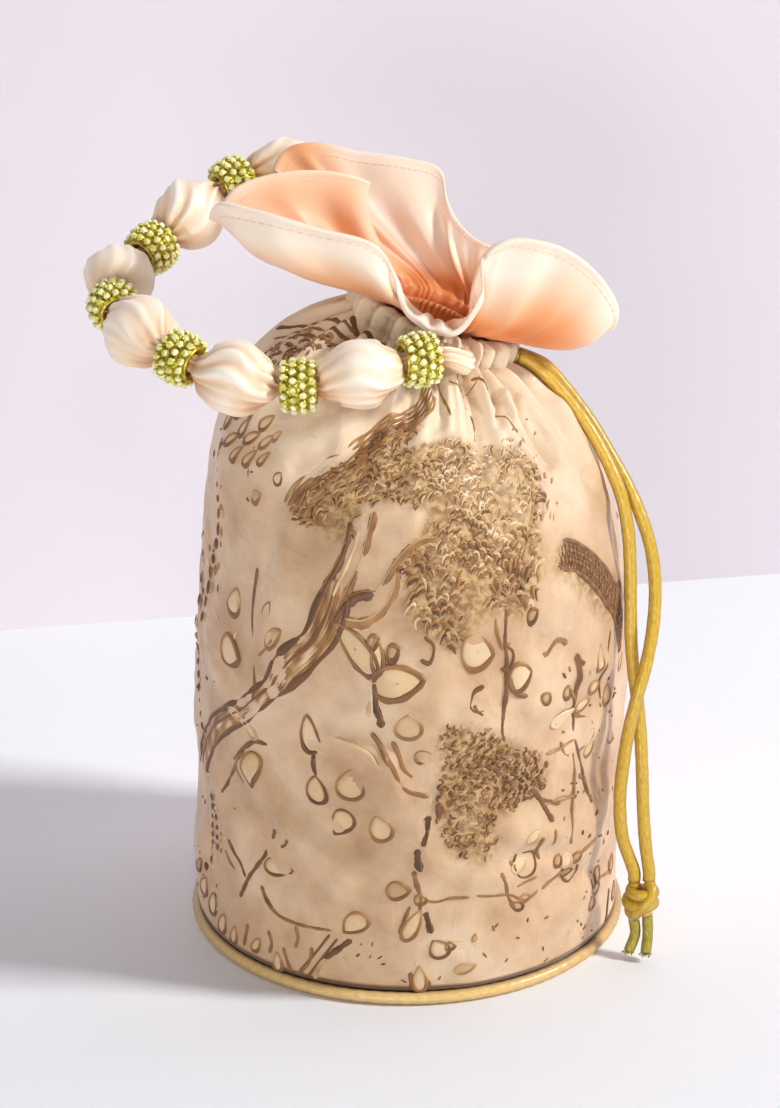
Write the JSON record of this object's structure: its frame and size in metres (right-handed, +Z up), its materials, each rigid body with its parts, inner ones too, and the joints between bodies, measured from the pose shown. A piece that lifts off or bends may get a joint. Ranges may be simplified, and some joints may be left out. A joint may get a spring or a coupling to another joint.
{
  "type": "potli bag",
  "caption": "Round-bottomed embroidered drawstring pouch with a satin frill at its neck and a beaded handle that swings up.",
  "frame": {"origin": "middle of the base's underside, on the surface the pouch stands on", "axes": "+Z up, +X to the side where the drawstring hangs, +Y to the back"},
  "size_m": [0.1765, 0.1394, 0.2432],
  "materials": {
    "brocade": "embroidered satin-faced cloth, soft sheen",
    "satin": "peach satin",
    "gold_satin": "gold satin cord",
    "gold_metal": "gold set with small stones",
    "board": "grey bag board",
    "ball": "plain light ball",
    "white_cord": "plain cotton cord"
  },
  "bodies": {
    "pouch": {"outer_panel": "brocade", "base_panel": "brocade", "base_piping": "gold_satin", "base_board": "board", "lining": "satin", "ruffle": "satin", "neck_drawstring": "gold_satin", "handle_tab_front": "satin", "handle_tab_back": "satin", "drawstring_strand_outer": "gold_satin", "drawstring_strand_inner": "gold_satin", "end_knot": "gold_satin", "end_tail_left": "gold_satin", "end_tail_right": "gold_satin"},
    "handle": {"handle_sleeve": "satin", "handle_core": "white_cord", "padding_ball_1": "ball", "padding_ball_2": "ball", "padding_ball_3": "ball", "padding_ball_4": "ball", "padding_ball_5": "ball", "padding_ball_6": "ball", "padding_ball_7": "ball", "gold_bead_1": "gold_metal", "gold_bead_2": "gold_metal", "gold_bead_3": "gold_metal", "gold_bead_4": "gold_metal", "gold_bead_5": "gold_metal", "gold_bead_6": "gold_metal", "gold_bead_7": "gold_metal", "gold_bead_8": "gold_metal"}
  },
  "joints": [
    {"name": "handle_swing", "type": "hinge", "parent": "pouch", "child": "handle", "pos_m": [0.01593, 0, 0.19285], "axis": [0, 1, 0], "range_deg": [0, 120]}
  ]
}
